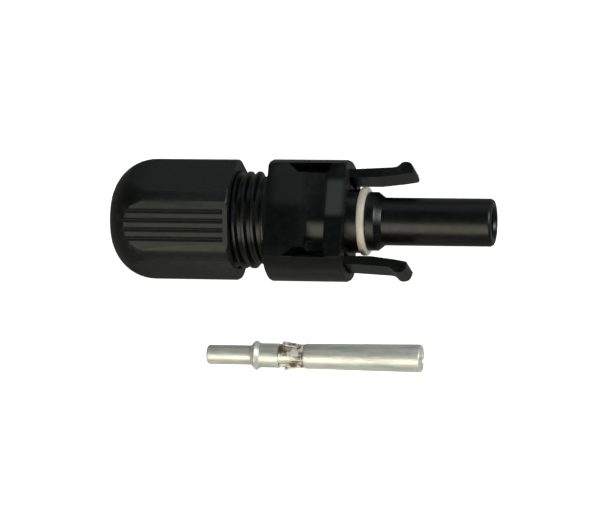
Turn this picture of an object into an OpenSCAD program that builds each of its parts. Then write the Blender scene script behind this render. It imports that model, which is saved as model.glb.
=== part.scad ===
// Solar cable connector: the plug half, with its loose socket contact beside it.
// The plug's axis is X with the nose towards +X. The origin lies on that axis, in the
// plane of the body's front face, where the mating half stops. +Z is up.

/* [Body] */
// Radius of the body's two rounded side wings
wing_r = 9.57; // [9.4:0.01:9.7]
// Half the body's thickness, between its flat top and bottom
body_half_t = 5.8; // [5.75:0.05:6.2]
// Length of the body, from its rear edge to its front face
body_l = 12.5; // [12.4:0.05:12.6]
// Radius of the round core that shows in the waist
core_r = 5.7; // [5.5:0.05:5.74]
// Rear end of the waist recess, behind the front face
waist_back = 5.9; // [5.6:0.1:6.2]
// Front end of the waist recess, behind the front face
waist_front = 2.9; // [2.7:0.1:3.1]

/* [Nose] */
// Radius of the nose
nose_r = 3.75; // [3.7:0.01:3.8]
// Distance of the nose's tip from the front face
nose_tip = 22.8; // [22:0.1:24]
// Radius of the passage through the nose
nose_bore_r = 2.25; // [2.24:0.01:2.3]
// Outer radius of the seal ring round the nose's base
seal_r = 5.4; // [5.35:0.01:5.42]
// Width of the seal ring along the nose
seal_w = 1.12; // [1.1:0.01:1.14]

/* [Thread and gland nut] */
// Distance that the nut moves in one turn
pitch = 1.5; // [1.5:0.01:1.5]
// Crest radius of the thread on the housing
thread_r = 7.65; // [7.64:0.01:7.66]
// Largest radius of the nut
nut_r = 9.5; // [9.45:0.01:9.55]
// Distance of each flat on the nut from its axis
nut_flat_r = 8.72; // [8.7:0.01:8.8]
// Number of flats round the nut
flat_count = 6; // [6:1:6]
// Distance between neighbouring ribs on a flat
rib_pitch = 1.45; // [1.4:0.01:1.5]
// Radius of the cable opening in the nut
cable_hole_r = 3.6; // [3.5:0.05:3.7]

/* [Cable clamp] */
// Number of clamp fingers
finger_count = 8; // [8:1:8]
// Angle that one finger spans round the axis
finger_span = 35; // [33:1:36]
// Outer radius of the fingers
finger_r = 5.3; // [5.28:0.01:5.32]

/* [Latch arms] */
// Height of each latch arm
arm_h = 5; // [4.8:0.1:5.2]
// Radius of the bead at each arm's root
arm_bead_r = 0.75; // [0.73:0.01:0.77]

/* [Socket contact] */
// Length of the contact
contact_l = 34.4; // [34.2:0.1:34.6]
// Distance of the contact from the plug's axis, across the table
contact_y = 20.1; // [18:0.1:24]
// Radius of the crimp barrel
barrel_r = 1.535; // [1.5:0.005:1.55]
// Radius of the hole for the stripped wire
wire_hole_r = 1.2; // [1.15:0.01:1.22]
// Radius of the hole for the mating pin
socket_hole_r = 1.6; // [1.58:0.01:1.61]

/* [Hidden] */
$fn = 72;
CUT = 0.02;                                   // how far a cutter overruns a face
BLACK = [0.05, 0.05, 0.055];
SOFT_BLACK = [0.10, 0.10, 0.11];
BEIGE = [0.72, 0.68, 0.60];
TIN = [0.72, 0.72, 0.70];
STEEL = [0.45, 0.42, 0.38];

// Places along the axis
rear_edge = -body_l;
spigot_end = -27;
seat_front = 4.5;                             // front of the flange that holds the nose seal
nose_root = 5.6;                              // where the nose reaches its own radius
seal_x = 1.9;
collar_r = 5.0;
flange_r = 4.6;
seal_groove_r = 4.1;

// Thread form. The ridge is crest + 2 flanks wide; male and female clear each other.
thread_steps = 36;                            // flat steps in one turn
male_root_r = thread_r - 0.8;
spigot_r = male_root_r - 0.17;                // the sleeve's facets clear this by a hair
male_wall_r = male_root_r - 0.12;
female_root_r = thread_r + 0.1;
female_crest_r = male_root_r + 0.15;
nut_bore_r = female_root_r + 0.17;
female_wall_r = female_root_r + 0.13;
nut_lip_bore_r = thread_r + 0.1;
male_form = [0.30, 0.40];                     // flank width, crest width
female_form = [0.30, 0.30];
male_start = -25.65;
male_turns = 7.55;
female_turns = 3.4;
female_start = male_start + pitch / 2         // half a pitch on: ridge faces groove
    + (form_width(male_form) - form_width(female_form)) / 2;
female_end = female_start + (female_turns + 1) * pitch;

// Nut
nut_end = -37.6;
nut_front = -17.75;
dome_r = 6.82;                                // radius of the dome's section
dome_x = -31.3;                               // where the dome begins
flat_from = -36;                              // the flats run out through the front rim
flat_turn = 24;                               // the first flat leans this far from +Z to -Y
groove_w = 0.8;                               // width of a groove at the flat
groove_floor_w = 0.06;
groove_depth = 0.34;
groove_to = -18.5;                            // front end of the grooves
ring_seat = -33.8;                            // inner face that pushes the clamp ring

// Clamp
ring_back = -33.65;
ring_front = -31.35;
ring_r = 6.8;
finger_root = ring_front + 0.15;
finger_l = 7.5;
finger_t = 1.2;
finger_grip_r = 3.45;                         // inner radius at the gripping rib

// Cable seal and the housing's rear passage
seal_bore_r = 5.05;
seal_bore_front = -11.3;
cone_front = -20.3;
mouth_r = 6.1;
cable_r = 2.95;                               // the seal's own hole
chamber_r = 2.7;
throat_back = -4.9;
throat_front = -2.4;
pocket_front = 2.5;
waist_step = 0.25;                            // depth of the waist's shallow side

// Latch arms
arm_x = -8.4;                                 // hinge line at the arm's root
arm_y = 6.9;
arm_gap = 0.08;
channel_h = arm_h + 0.5;

// Contact: distances from its rear end
collar_from = 7.1;
collar_peak = 7.88;
collar_to = 8.6;
collar_peak_r = 2.32;
neck_r = 1.92;
clip_from = 11.6;
sleeve_from = 15.7;
clip_seat_r = 1.5;
plug_r = 1.3;                                 // where the body enters the sleeve
sleeve_r = 1.965;
sleeve_mouth_r = 2.195;
louvre_from = 23;
louvre_to = 30.8;
louvre_r = 1.78;
contact_x = -22.9;
table_z = -nut_r;
clip_t = 0.35;
barb_w = 1.1;
barb_t = 0.28;
barb_root = 15.0;                             // hinge line of a barb, from the rear end
barb_l = 2.7;
barb_rise = 0.5;
barb_turn = 42;                               // the first barb leans this far from +Y to +Z

// ---------- helpers ----------

function form_width(form) = 2 * form[0] + form[1];

// A solid turned about the X axis. Each point is [place along X, radius].
module turned(points) {
    rotate([0, 90, 0]) rotate_extrude() polygon([for (p = points) [p[1], p[0]]]);
}

// A round rod or hole along X
module rod(from, to, r) {
    translate([from, 0, 0]) rotate([0, 90, 0]) cylinder(h = to - from, r = r);
}

// A box given by its low and high corners
module block(low, high) {
    translate(low) cube(high - low);
}

// The children and their mirror image across the XZ plane
module both_sides() {
    children();
    mirror([0, 1, 0]) children();
}

// Points of a circular arc
function arc(centre, r, from, to, steps) =
    [for (i = [0:steps]) let (a = from + (to - from) * i / steps)
        centre + r * [cos(a), sin(a)]];

function two_triangles(a, b, c, d) = [[a, b, c], [a, c, d]];

// A threaded sleeve, wound as a right-handed helix along X from x = 0. Its wall lies
// between wall_r, on the side of the part that carries it, and root_r, and its ridge
// stands on to crest_r. The ridge rises out of the root at its start and sinks back
// at its end.
module helix(wall_r, root_r, crest_r, form, turns) {
    n = round(turns * thread_steps);
    all = n + thread_steps;                   // wall stations, one turn more than ridge stations
    fade = thread_steps / 5;
    lift = function (k) max(0.04, min(1, k / fade, (n - k) / fade));
    at = function (k, r, dx) let (a = 360 * k / thread_steps)
        [k * pitch / thread_steps + dx, r * cos(a), r * sin(a)];
    crest = function (k) root_r + (crest_r - root_r) * lift(k);
    wall_points = [for (k = [0:all]) each [at(k, wall_r, 0), at(k, root_r, 0)]];
    ridge_points = [for (k = [0:n]) each [
        at(k, crest(k), form[0]),
        at(k, crest(k), form[0] + form[1]),
        at(k, root_r, form_width(form))]];
    wall = function (k) 2 * k;
    root = function (k) 2 * k + 1;
    ridge = function (k, j) 2 * (all + 1) + 3 * k + j;
    strip = function (a, b) [for (k = [0:n - 1]) each two_triangles(a(k), a(k + 1), b(k + 1), b(k))];
    rear = [for (k = [0:thread_steps - 1])
        each two_triangles(wall(k), wall(k + 1), root(k + 1), root(k))];
    front = [for (k = [n:all - 1])
        each two_triangles(root(k), root(k + 1), wall(k + 1), wall(k))];
    start = [wall(0), root(0), ridge(0, 0), ridge(0, 1), ridge(0, 2),
        root(thread_steps), wall(thread_steps)];
    finish = [wall(all), root(all), ridge(n, 2), ridge(n, 1), ridge(n, 0), root(n), wall(n)];
    faces = concat(
        strip(root, function (k) ridge(k, 0)),
        strip(function (k) ridge(k, 0), function (k) ridge(k, 1)),
        strip(function (k) ridge(k, 1), function (k) ridge(k, 2)),
        strip(function (k) ridge(k, 2), function (k) root(k + thread_steps)),
        strip(function (k) wall(k + thread_steps), wall),
        rear, front,
        [for (i = [1:5]) [start[0], start[i], start[i + 1]]],
        [for (i = [1:5]) [finish[6], finish[i - 1], finish[i]]]);
    outward = crest_r > root_r;
    polyhedron(concat(wall_points, ridge_points),
        outward ? [for (f = faces) [f[2], f[1], f[0]]] : faces);
}

// ---------- housing ----------

module housing_outside() {
    // body: round wings cut by the flat top and bottom
    intersection() {
        turned([[rear_edge, 0], [rear_edge, wing_r - 0.35], [rear_edge + 0.1, wing_r - 0.1],
                [rear_edge + 0.35, wing_r], [-0.5, wing_r], [-0.12, wing_r - 0.16],
                [0, wing_r - 0.5], [0, 0]]);
        block([rear_edge - CUT, -wing_r - 1, -body_half_t], [1, wing_r + 1, body_half_t]);
    }
    // collar that the thread runs out against
    turned([[rear_edge - 0.27, 0], [rear_edge - 0.27, thread_r - 0.15], [rear_edge - 0.15, thread_r],
            [rear_edge + 0.1, thread_r], [rear_edge + 0.1, 0]]);
    // threaded spigot
    turned([[spigot_end, 0], [spigot_end, spigot_r - 0.3], [spigot_end + 0.3, spigot_r],
            [rear_edge + 0.1, spigot_r], [rear_edge + 0.1, 0]]);
    translate([male_start, 0, 0])
        helix(male_wall_r, male_root_r, thread_r, male_form, male_turns);
    // collar, seal groove, flange and nose
    turned([[-1, 0], [-1, collar_r], [seal_x, collar_r], [seal_x, seal_groove_r],
            [seal_x + seal_w, seal_groove_r], [seal_x + seal_w, flange_r - 0.15],
            [seal_x + seal_w + 0.15, flange_r], [seat_front, flange_r], [nose_root, nose_r],
            [nose_tip - 0.5, nose_r], [nose_tip - 0.12, nose_r - 0.2], [nose_tip, nose_r - 0.42],
            [nose_tip, 0]]);
}

// Passage through the housing, from the cable end to the nose's mouth
module passage() {
    turned([[spigot_end - CUT, 0], [spigot_end - CUT, mouth_r], [cone_front, seal_bore_r],
            [seal_bore_front, seal_bore_r], [seal_bore_front, chamber_r],
            [throat_back - 0.6, chamber_r], [throat_back, nose_bore_r],
            [throat_front, nose_bore_r], [throat_front, chamber_r],
            [pocket_front - 0.5, chamber_r], [pocket_front, nose_bore_r],
            [nose_tip - 0.5, nose_bore_r], [nose_tip, nose_bore_r + 0.32],
            [nose_tip + CUT, nose_bore_r + 0.32], [nose_tip + CUT, 0]]);
}

// Room for one latch arm: a slot through the body, a mouth in the front face
// and a round seat for the bead at the arm's root
module arm_channel() {
    half = channel_h / 2;
    translate([0, 0, -body_half_t - 1]) linear_extrude(2 * body_half_t + 2)
        polygon([[-9.3, 7.6], [-7.6, 6.1], [-2.9, 6.05], [-2.3, 7.7], [-5, 7.7]]);
    translate([0, 0, -half]) linear_extrude(channel_h)
        polygon([[arm_x, arm_y - 0.6], [-4, 5.85], [1, 5.5], [1, 7.98], [-4, 7.85],
                 [arm_x, arm_y + 0.6]]);
    translate([arm_x, arm_y, -half]) cylinder(h = channel_h, r = arm_bead_r + arm_gap);
}

// Recess between the wings, top and bottom. On one side of the axis it goes down to the
// round core, on the other side it is only a shallow step.
module waist_recess() {
    for (turn = [0, 180]) rotate([turn, 0, 0]) union() {
        difference() {
            block([-waist_back, -6.2, 3.4], [-waist_front, 0, body_half_t + 1]);
            rod(-waist_back - 1, -waist_front + 1, core_r);
        }
        block([-waist_back, -2, body_half_t - waist_step], [-waist_front, 6.2, body_half_t + 2]);
    }
}

module housing() {
    color(BLACK) difference() {
        difference() {
            housing_outside();
            both_sides() arm_channel();
            waist_recess();
        }
        passage();
    }
}

module nose_seal() {
    half = seal_w / 2;
    color(BEIGE) translate([seal_x, 0, 0])
        turned([[0, seal_groove_r], [0, seal_r - 0.3], [0.09, seal_r - 0.1], [0.3, seal_r],
                [seal_w - 0.3, seal_r], [seal_w - 0.09, seal_r - 0.1], [seal_w, seal_r - 0.3],
                [seal_w, seal_groove_r], [half, seal_groove_r]]);
}

module cable_seal() {
    from = -19.5;
    to = seal_bore_front;
    rib = 1.2;
    color(SOFT_BLACK) difference() {
        union() {
            rod(from, to, seal_bore_r - 0.25);
            for (x = [from + 0.8, (from + to - rib) / 2, to - rib - 0.8]) rod(x, x + rib, seal_bore_r);
        }
        rod(from - 1, to + 1, cable_r);
        turned([[from - CUT, 0], [from - CUT, cable_r + 0.6], [from + 0.6, cable_r], [from + 0.6, 0]]);
    }
}

// ---------- latch arms ----------

// Outline of the left arm from above, with its hook and lead-in at the free end
module arm_outline() {
    union() {
        translate([arm_x, arm_y]) circle(arm_bead_r);
        polygon([[arm_x, arm_y - 0.55], [-4, 6.42], [4.2, 6.45], [8.0, 6.92], [9.85, 7.25],
                 [10.05, 7.5], [10.0, 7.9], [9.8, 8.45], [9.5, 8.83], [9.0, 9.03], [8.45, 9.05],
                 [8.05, 8.9], [7.6, 8.45], [7.2, 8.2], [6.6, 8.1],
                 [1.3, 7.8], [-4, 7.6], [arm_x, arm_y + 0.55]]);
    }
}

module latch_arm() {
    color(BLACK) translate([0, 0, -arm_h / 2]) linear_extrude(arm_h) arm_outline();
}

module latch_arm_left() { latch_arm(); }
module latch_arm_right() { mirror([0, 1, 0]) latch_arm(); }

// ---------- gland nut ----------

// Cutters that leave one flat, and that part it into ribs
module nut_flat() {
    block([flat_from, -5, nut_flat_r], [nut_front + 1, 5, nut_r + 1]);
}

module nut_grooves() {
    floor_half = groove_floor_w / 2;
    flare = (groove_w - groove_floor_w) / groove_depth;
    top_half = floor_half + flare * groove_depth;
    for (i = [-1.5:1:1.5]) {
        start = abs(i) < 1 ? flat_from + 1.1 : flat_from + 1.8;
        translate([start, i * rib_pitch, nut_flat_r - groove_depth]) rotate([90, 0, 90])
            linear_extrude(groove_to - start)
                polygon([[-floor_half, 0], [floor_half, 0],
                         [top_half, 2 * groove_depth], [-top_half, 2 * groove_depth]]);
    }
}

module gland_nut() {
    dome = arc([dome_x, nut_r - dome_r], dome_r, 90, 157, 10);
    color(BLACK) union() {
        difference() {
            turned(concat(
                [[nut_end, cable_hole_r], [nut_end, 4.7], [nut_end + 0.06, 4.95]],
                [for (i = [10:-1:0]) dome[i]],
                [[nut_front - 0.35, nut_r], [nut_front - 0.1, nut_r - 0.12], [nut_front, nut_r - 0.35],
                 [nut_front, nut_lip_bore_r], [female_end + 0.1, nut_lip_bore_r],
                 [female_end + 0.1, nut_bore_r], [ring_front + 2.0, nut_bore_r],
                 [ring_front + 1.1, ring_r + 0.15], [ring_seat, ring_r + 0.15], [ring_seat, 5.2],
                 [nut_end + 2.2, cable_hole_r]]));
            for (i = [0:flat_count - 1])
                rotate([flat_turn + 360 / flat_count * i, 0, 0]) {
                    nut_flat();
                    if (i % 2 == 0) nut_grooves();
                }
        }
        translate([female_start, 0, 0])
            helix(female_wall_r, female_root_r, female_crest_r, female_form, female_turns);
    }
}

// ---------- cable clamp ----------

module clamp_ring() {
    color(SOFT_BLACK) turned([[ring_back, 4.0], [ring_back, 5.9], [ring_back + 0.5, ring_r],
        [ring_front - 0.4, ring_r], [ring_front, ring_r - 0.4], [ring_front, 4.0]]);
}

// One finger, at turn degrees round the axis from +Y
module clamp_finger(turn) {
    tip = finger_root + finger_l;
    inner_r = finger_r - finger_t;
    color(SOFT_BLACK) rotate([turn - finger_span / 2, 0, 0]) rotate([90, 0, 90])
        rotate_extrude(angle = finger_span)
            polygon([[inner_r, finger_root], [finger_r, finger_root], [finger_r, tip - 0.5],
                     [finger_r - 0.35, tip], [finger_grip_r + 0.3, tip],
                     [finger_grip_r, tip - 0.3], [finger_grip_r, tip - 0.7], [inner_r - 0.1, tip - 1.1],
                     [finger_grip_r, tip - 1.7], [finger_grip_r, tip - 2.1], [inner_r, tip - 2.9]]);
}

// ---------- socket contact ----------

// Places the children, drawn along X from 0, where the contact lies
module on_contact() {
    translate([contact_x, -contact_y, table_z + collar_peak_r]) children();
}

module contact_body() {
    plug_to = 18.9;
    color(TIN) on_contact() difference() {
        turned([[0, 0], [0, barrel_r - 0.3], [0.1, barrel_r - 0.1], [0.35, barrel_r],
                [collar_from, barrel_r], [collar_from + 0.1, barrel_r + 0.15],
                [collar_peak - 0.25, collar_peak_r - 0.16], [collar_peak, collar_peak_r],
                [collar_peak + 0.15, collar_peak_r - 0.06], [collar_to, neck_r], [clip_from, neck_r],
                [clip_from, clip_seat_r], [sleeve_from, clip_seat_r], [sleeve_from, plug_r],
                [plug_to, plug_r], [plug_to, 0]]);
        turned([[-CUT, 0], [-CUT, wire_hole_r], [6, wire_hole_r], [6.4, 0.4], [6.4, 0]]);
    }
}

module contact_sleeve() {
    color(TIN) on_contact() turned([
        [sleeve_from, plug_r], [sleeve_from, sleeve_r - 0.12], [sleeve_from + 0.12, sleeve_r],
        [contact_l - 0.35, sleeve_mouth_r], [contact_l - 0.1, sleeve_mouth_r - 0.06],
        [contact_l, sleeve_mouth_r - 0.2], [contact_l, socket_hole_r + 0.15],
        [contact_l - 0.3, socket_hole_r], [louvre_to, socket_hole_r], [louvre_to, louvre_r],
        [louvre_from, louvre_r], [louvre_from, plug_r]]);
}

module contact_louvre() {
    slats = 8;
    color(STEEL) on_contact() difference() {
        turned([[louvre_from, louvre_r - 0.08], [louvre_from, louvre_r], [louvre_to, louvre_r],
                [louvre_to, louvre_r - 0.08], [louvre_to - 1.2, socket_hole_r - 0.18],
                [louvre_from + 1.2, socket_hole_r - 0.18]]);
        for (i = [0:slats - 1])
            rotate([i * 360 / slats, 0, 0])
                block([louvre_from + 1, -0.12, 0], [louvre_to - 1, 0.12, louvre_r + 1]);
    }
}

// Opening in the clip for one barb, at +Y
module barb_window() {
    block([barb_root - barb_l - 0.25, 0, -barb_w / 2 - 0.12], [barb_root + 0.15, 3, barb_w / 2 + 0.12]);
}

module retaining_clip() {
    color(STEEL) on_contact() difference() {
        rod(clip_from + 0.1, sleeve_from - 0.1, clip_seat_r + clip_t);
        rod(clip_from, sleeve_from, clip_seat_r);
        for (turn = [barb_turn, barb_turn + 180]) rotate([turn, 0, 0]) barb_window();
        // the seam where the rolled strip meets, and the notch beside it
        rotate([barb_turn + 90, 0, 0]) {
            block([clip_from, 0, -0.2], [sleeve_from, 3, 0.2]);
            block([clip_from, 0, -0.75], [clip_from + 1.9, 3, 0.75]);
        }
    }
}

// A strip whose free end springs out and points to the rear
module clip_barb(turn) {
    low = clip_seat_r + 0.04;
    color(STEEL) on_contact() rotate([turn, 0, 0])
        translate([0, 0, -barb_w / 2]) linear_extrude(barb_w)
            polygon([[barb_root, low], [barb_root, low + barb_t],
                     [barb_root - barb_l, low + barb_t + barb_rise],
                     [barb_root - barb_l, low + barb_rise]]);
}

module clip_barb_1() { clip_barb(barb_turn); }
module clip_barb_2() { clip_barb(barb_turn + 180); }

housing();
nose_seal();
cable_seal();
latch_arm_left();
latch_arm_right();
gland_nut();
clamp_ring();
for (i = [1:finger_count])
    clamp_finger(360 / finger_count * (i - 1));
contact_body();
contact_sleeve();
contact_louvre();
retaining_clip();
clip_barb_1();
clip_barb_2();
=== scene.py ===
"""Solar cable connector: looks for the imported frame. Everything is in metres, in the frame's own axes."""
import math

import bpy
from mathutils import Matrix, Vector


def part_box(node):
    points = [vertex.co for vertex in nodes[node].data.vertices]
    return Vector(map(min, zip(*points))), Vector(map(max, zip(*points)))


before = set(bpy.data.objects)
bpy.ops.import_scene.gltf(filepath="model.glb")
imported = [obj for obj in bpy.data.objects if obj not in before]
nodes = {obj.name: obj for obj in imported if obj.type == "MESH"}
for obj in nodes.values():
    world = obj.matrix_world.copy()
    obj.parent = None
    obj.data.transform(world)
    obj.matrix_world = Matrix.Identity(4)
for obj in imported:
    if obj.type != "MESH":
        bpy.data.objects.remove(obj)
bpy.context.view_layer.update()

MM = 0.001

# ---------- camera ----------
CAMERA_TURN = 12.8        # degrees round towards the nose
CAMERA_LEAN = 17.0        # degrees from straight down, towards the viewer
CAMERA_ROLL = 0.8         # degrees; the plug's axis drops to the right
CAMERA_AIM = Vector((-7.67, -5.35, 0)) * MM
CAMERA_DISTANCE = 0.6
VIEW_WIDTH = 0.09397      # width of the picture at the aim point


def make_camera():
    turn, lean = math.radians(CAMERA_TURN), math.radians(CAMERA_LEAN)
    back = Vector((math.sin(turn), -math.cos(turn) * math.sin(lean), math.cos(turn) * math.cos(lean)))
    right = Vector((math.cos(turn), math.sin(turn) * math.sin(lean), -math.sin(turn) * math.cos(lean)))
    up = back.cross(right)
    facing = Matrix((right, up, back)).transposed().to_4x4()
    data = bpy.data.cameras.new("camera")
    data.sensor_width = 36
    data.lens = 36 * CAMERA_DISTANCE / VIEW_WIDTH
    data.clip_start, data.clip_end = 0.01, 10
    camera = bpy.data.objects.new("camera", data)
    camera.matrix_world = (Matrix.Translation(CAMERA_AIM + back * CAMERA_DISTANCE)
                           @ facing @ Matrix.Rotation(math.radians(CAMERA_ROLL), 4, "Z"))
    bpy.context.scene.collection.objects.link(camera)
    bpy.context.scene.camera = camera


make_camera()


# ---------- materials ----------
MOST_OF_NOISE = (0.3, 0.7)       # values between which most of a noise texture lies
SHARP_POINTINESS = (0.52, 0.62)  # from a slightly rounded edge to a sharp one


class Shader:
    """A material's node tree, with short calls for the nodes that these materials share."""

    def __init__(self, name, colour, roughness, metallic=0.0):
        self.material = bpy.data.materials.new(name)
        self.material.use_nodes = True
        self.tree = self.material.node_tree
        self.bsdf = self.tree.nodes["Principled BSDF"]
        self.bsdf.inputs["Base Color"].default_value = (*colour, 1)
        self.bsdf.inputs["Roughness"].default_value = roughness
        self.bsdf.inputs["Metallic"].default_value = metallic
        self.place = self.tree.nodes.new("ShaderNodeTexCoord").outputs["Object"]

    def node(self, kind, **settings):
        made = self.tree.nodes.new(kind)
        for key, value in settings.items():
            setattr(made, key, value)
        return made

    def link(self, output, target):
        self.tree.links.new(output, target)

    def noise(self, scale, detail=4, roughness=0.55, stretch=(1, 1, 1)):
        """Noise of so many features to the metre along each axis."""
        mapping = self.node("ShaderNodeMapping")
        mapping.inputs["Scale"].default_value = stretch
        self.link(self.place, mapping.inputs["Vector"])
        made = self.node("ShaderNodeTexNoise")
        made.inputs["Scale"].default_value = scale
        made.inputs["Detail"].default_value = detail
        made.inputs["Roughness"].default_value = roughness
        self.link(mapping.outputs["Vector"], made.inputs["Vector"])
        return made.outputs["Fac"]

    def ramp(self, value, places, colours):
        """A colour ramp with one colour at each place."""
        made = self.node("ShaderNodeValToRGB")
        ramp = made.color_ramp
        for element, place, colour in zip(ramp.elements, places, colours):
            element.position = place
            element.color = (*colour, 1)
        self.link(value, made.inputs["Fac"])
        return made.outputs["Color"]

    def spread(self, value, low, high):
        """A noise value stretched so that most of it runs from low to high."""
        return self.remap(value, MOST_OF_NOISE, (low, high))

    def remap(self, value, source, target, interpolation="LINEAR"):
        made = self.node("ShaderNodeMapRange", interpolation_type=interpolation)
        made.inputs["From Min"].default_value, made.inputs["From Max"].default_value = source
        made.inputs["To Min"].default_value, made.inputs["To Max"].default_value = target
        self.link(value, made.inputs["Value"])
        return made.outputs["Result"]

    def bump(self, height, strength, depth, under=None):
        made = self.node("ShaderNodeBump")
        made.inputs["Strength"].default_value = strength
        made.inputs["Distance"].default_value = depth
        self.link(height, made.inputs["Height"])
        if under:
            self.link(under, made.inputs["Normal"])
        return made.outputs["Normal"]

    def edge_wear(self, colour, worn, amount):
        """Colour turned to worn along sharp outer edges, broken up by noise."""
        point = self.node("ShaderNodeNewGeometry").outputs["Pointiness"]
        edge = self.remap(point, SHARP_POINTINESS, (0, amount))
        return self.blend(self.times(edge, self.noise(1800, 3)), colour, worn)

    def patch(self, low, high, soft):
        """1 inside the box from low to high, seen along Z, fading to 0 over the distance soft."""
        parts = self.node("ShaderNodeSeparateXYZ")
        self.link(self.place, parts.inputs[0])
        inside = None
        for axis in (0, 1):
            for edge, outward in ((low[axis], -1), (high[axis], 1)):
                reach = (edge - outward * soft / 2, edge + outward * soft / 2)
                fade = self.remap(parts.outputs[axis], reach, (1, 0), "SMOOTHSTEP")
                inside = self.times(inside, fade) if inside else fade
        return inside

    def times(self, a, b):
        made = self.node("ShaderNodeMath", operation="MULTIPLY")
        self.link(a, made.inputs[0])
        self.link(b, made.inputs[1])
        return made.outputs[0]

    def blend(self, factor, base, value):
        """base, turned to value where factor is 1; both are numbers or both are colours."""
        made = self.node("ShaderNodeMix", data_type="RGBA" if isinstance(value, tuple) else "FLOAT")
        sockets = [i for i in made.inputs if i.enabled]
        self.link(factor, sockets[0])
        self.link(base, sockets[1])
        sockets[2].default_value = (*value, 1) if isinstance(value, tuple) else value
        return next(o for o in made.outputs if o.enabled)


def moulded_black(name, dark, light, roughness, grain, satin_and_painted_sheen=()):
    """Black moulded plastic: faint cloudy tone, fine spark-eroded grain and paler worn edges.

    Each patch is (low corner, high corner, fade distance, roughness, colour), its corners
    in X and Y. Its roughness gives a rougher satin finish, and its paler colour is a painted reflection
    (painted sheen).
    """
    s = Shader(name, light, roughness)
    tone = s.ramp(s.noise(260, 5), MOST_OF_NOISE, (dark, light))
    sheen = s.spread(s.noise(900, 4), roughness - 0.05, roughness + 0.06)
    # painted sheen: inside each patch the tone turns to a paler colour that stands in for a reflection of
    # the lights, and the roughness turns to a rougher finish
    for low, high, soft, rough, painted_sheen_colour in satin_and_painted_sheen:
        inside = s.patch(low, high, soft)
        tone = s.blend(inside, tone, painted_sheen_colour)
        sheen = s.blend(inside, sheen, rough)
    s.link(s.edge_wear(tone, (0.030, 0.030, 0.032), 0.6), s.bsdf.inputs["Base Color"])
    s.link(sheen, s.bsdf.inputs["Roughness"])
    fine = s.bump(s.noise(grain, 3), 0.25, 0.02 * MM)
    s.link(s.bump(s.noise(420, 2), 0.09, 0.05 * MM, fine), s.bsdf.inputs["Normal"])
    s.bsdf.inputs["Specular IOR Level"].default_value = 0.5
    return s.material


def rubber(name, dark, light, roughness):
    s = Shader(name, light, roughness)
    s.link(s.ramp(s.noise(500, 6), MOST_OF_NOISE, (dark, light)), s.bsdf.inputs["Base Color"])
    s.link(s.bump(s.noise(5000, 2), 0.2, 0.02 * MM), s.bsdf.inputs["Normal"])
    return s.material


def mottled_metal(name, dark, light, roughness, metallic, stops=MOST_OF_NOISE, stretch=(0.12, 1, 1)):
    """Bright metal, mottled from dark to light, with fine drawing lines along X and soft dents.

    stops are the noise values where dark ends and light begins.
    """
    s = Shader(name, light, roughness, metallic)
    mottle = s.ramp(s.noise(900, 6, 0.65, stretch), stops, (dark, light))
    s.link(mottle, s.bsdf.inputs["Base Color"])
    s.link(s.spread(s.noise(1200, 5), roughness - 0.08, roughness + 0.12), s.bsdf.inputs["Roughness"])
    lines = s.bump(s.noise(3000, 3, 0.6, (0.05, 1, 1)), 0.3, 0.01 * MM)
    s.link(s.bump(s.noise(350, 3), 0.35, 0.06 * MM, lines), s.bsdf.inputs["Normal"])
    return s.material


DEEP_BLACK = (0.0012, 0.0014, 0.0014)
# Painted sheen on the housing's top: each patch is painted in a paler colour for the reflections of the
# lights, and is also given a rougher finish
FRONT_SHEEN_PATCH = ((-0.0029, -0.0008), (-0.0002, 0.0048), 0.0012, 0.75, (0.025, 0.030, 0.0305))
REAR_SHEEN_PATCH = ((-0.0118, 0.0008), (-0.0062, 0.0075), 0.0024, 0.55, (0.0035, 0.0050, 0.0050))

HOUSING = moulded_black("housing_plastic", DEEP_BLACK, (0.0022, 0.0025, 0.0024), 0.33, 9000,
                        satin_and_painted_sheen=(FRONT_SHEEN_PATCH, REAR_SHEEN_PATCH))
NUT = moulded_black("nut_plastic", DEEP_BLACK, (0.0026, 0.0029, 0.0028), 0.43, 9000)
CLAMP = moulded_black("clamp_plastic", (0.03, 0.03, 0.033), (0.05, 0.05, 0.055), 0.45, 8000)
SEAL = rubber("seal_rubber", (0.56, 0.505, 0.42), (0.69, 0.625, 0.53), 0.6)
GROMMET = rubber("black_rubber", (0.02, 0.02, 0.02), (0.035, 0.035, 0.035), 0.7)
TIN = mottled_metal("tin_plate", (0.60, 0.61, 0.56), (0.99, 0.98, 0.91), 0.40, 0.62, (0.28, 0.60))
LOUVRE = mottled_metal("louvre_metal", (0.45, 0.36, 0.20), (0.62, 0.52, 0.33), 0.3, 0.9)
SPRING = mottled_metal("spring_steel", (0.16, 0.11, 0.07), (0.98, 0.95, 0.85), 0.42, 0.35,
                       (0.42, 0.54), (0.8, 0.6, 0.6))

FINISHES = {
    "housing": HOUSING, "latch_arm_left": HOUSING, "latch_arm_right": HOUSING, "gland_nut": NUT,
    "nose_seal": SEAL, "cable_seal": GROMMET, "clamp_ring": CLAMP, "contact_body": TIN,
    "contact_sleeve": TIN, "contact_louvre": LOUVRE, "retaining_clip": SPRING,
    "clip_barb_1": SPRING, "clip_barb_2": SPRING}


NUT_EDGE = 0.12 * MM      # width of the round on the nut's edges
FINE_EDGE = 0.06 * MM     # and on all other edges
WELD_DISTANCE = 0.0005 * MM
SHARP_ANGLE = 28          # degrees


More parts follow.
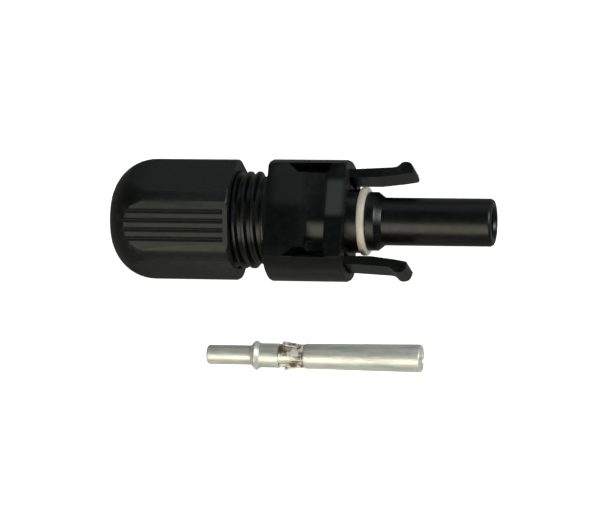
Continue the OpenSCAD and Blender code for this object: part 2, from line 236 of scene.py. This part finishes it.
def finish_node(obj, material, bevel):
    """Gives a CAD node its material and a fine round on every sharp edge."""
    obj.data.materials.clear()
    obj.data.materials.append(material)
    for polygon in obj.data.polygons:
        polygon.use_smooth = True
    weld = obj.modifiers.new("weld", "WELD")
    weld.merge_threshold = WELD_DISTANCE
    round_edges = obj.modifiers.new("bevel", "BEVEL")
    round_edges.width = bevel
    round_edges.segments = 2
    round_edges.limit_method = "ANGLE"
    round_edges.angle_limit = math.radians(SHARP_ANGLE)
    round_edges.use_clamp_overlap = True
    normals = obj.modifiers.new("normals", "WEIGHTED_NORMAL")
    normals.keep_sharp = True


for name, obj in nodes.items():
    finish_node(obj, FINISHES.get(name, CLAMP), NUT_EDGE if name == "gland_nut" else FINE_EDGE)


# ---------- floor and light ----------
TABLE_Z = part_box("gland_nut")[0].z
FLOOR_GLOW = 0.85         # keeps the paper white under the soft light
FLOOR_HALF = 1.5
FLOOR_WHITES = ((0.90, 0.90, 0.90), (0.93, 0.93, 0.93))


def make_floor():
    mesh = bpy.data.meshes.new("floor")
    corners = [(x * FLOOR_HALF, y * FLOOR_HALF, TABLE_Z) for x, y in ((-1, -1), (1, -1), (1, 1), (-1, 1))]
    mesh.from_pydata(corners, [], [(0, 1, 2, 3)])
    floor = bpy.data.objects.new("floor", mesh)
    bpy.context.scene.collection.objects.link(floor)
    s = Shader("floor_paper", (0.9, 0.9, 0.9), 0.9)
    s.link(s.ramp(s.noise(60, 4), MOST_OF_NOISE, FLOOR_WHITES), s.bsdf.inputs["Base Color"])
    s.bsdf.inputs["Emission Color"].default_value = (1, 1, 1, 1)
    s.bsdf.inputs["Emission Strength"].default_value = FLOOR_GLOW
    mesh.materials.append(s.material)
    floor.visible_glossy = False


def soft_light(name, place, size, power, colour):
    """A square soft box at place, facing the plug."""
    data = bpy.data.lights.new(name, "AREA")
    data.shape = "RECTANGLE"
    data.size, data.size_y = size
    data.energy = power
    data.color = colour
    light = bpy.data.objects.new(name, data)
    light.location = place
    light.rotation_euler = (-Vector(place)).to_track_quat("-Z", "Y").to_euler()
    bpy.context.scene.collection.objects.link(light)


HORIZON_BAND = (0.42, 0.58)   # 0 is straight down, 1 straight up


def make_world(above, below):
    """Dim surroundings overhead, and the pale table's own light from below the horizon."""
    world = bpy.data.worlds.new("studio")
    world.use_nodes = True
    tree = world.node_tree
    parts = tree.nodes.new("ShaderNodeSeparateXYZ")
    ramp = tree.nodes.new("ShaderNodeValToRGB")
    for element, place, colour in zip(ramp.color_ramp.elements, HORIZON_BAND, (below, above)):
        element.position = place
        element.color = (*colour, 1)
    half = tree.nodes.new("ShaderNodeMapRange")
    half.inputs["From Min"].default_value = -1
    tree.links.new(tree.nodes.new("ShaderNodeTexCoord").outputs["Generated"], parts.inputs[0])
    tree.links.new(parts.outputs["Z"], half.inputs["Value"])
    tree.links.new(half.outputs["Result"], ramp.inputs["Fac"])
    tree.links.new(ramp.outputs["Color"], tree.nodes["Background"].inputs["Color"])
    bpy.context.scene.world = world


make_floor()
soft_light("key", (-0.10, -0.48, 0.40), (0.8, 0.48), 2.5, (1.0, 0.98, 0.80))
soft_light("side", (0.50, 0.12, 0.45), (0.35, 0.35), 2.6, (0.95, 1.0, 1.0))
soft_light("back", (0.05, 0.5, 0.35), (0.9, 0.4), 0.35, (0.85, 0.93, 1.0))
make_world((0.028, 0.038, 0.040), (0.16, 0.16, 0.15))
bpy.context.scene.view_settings.view_transform = "Standard"
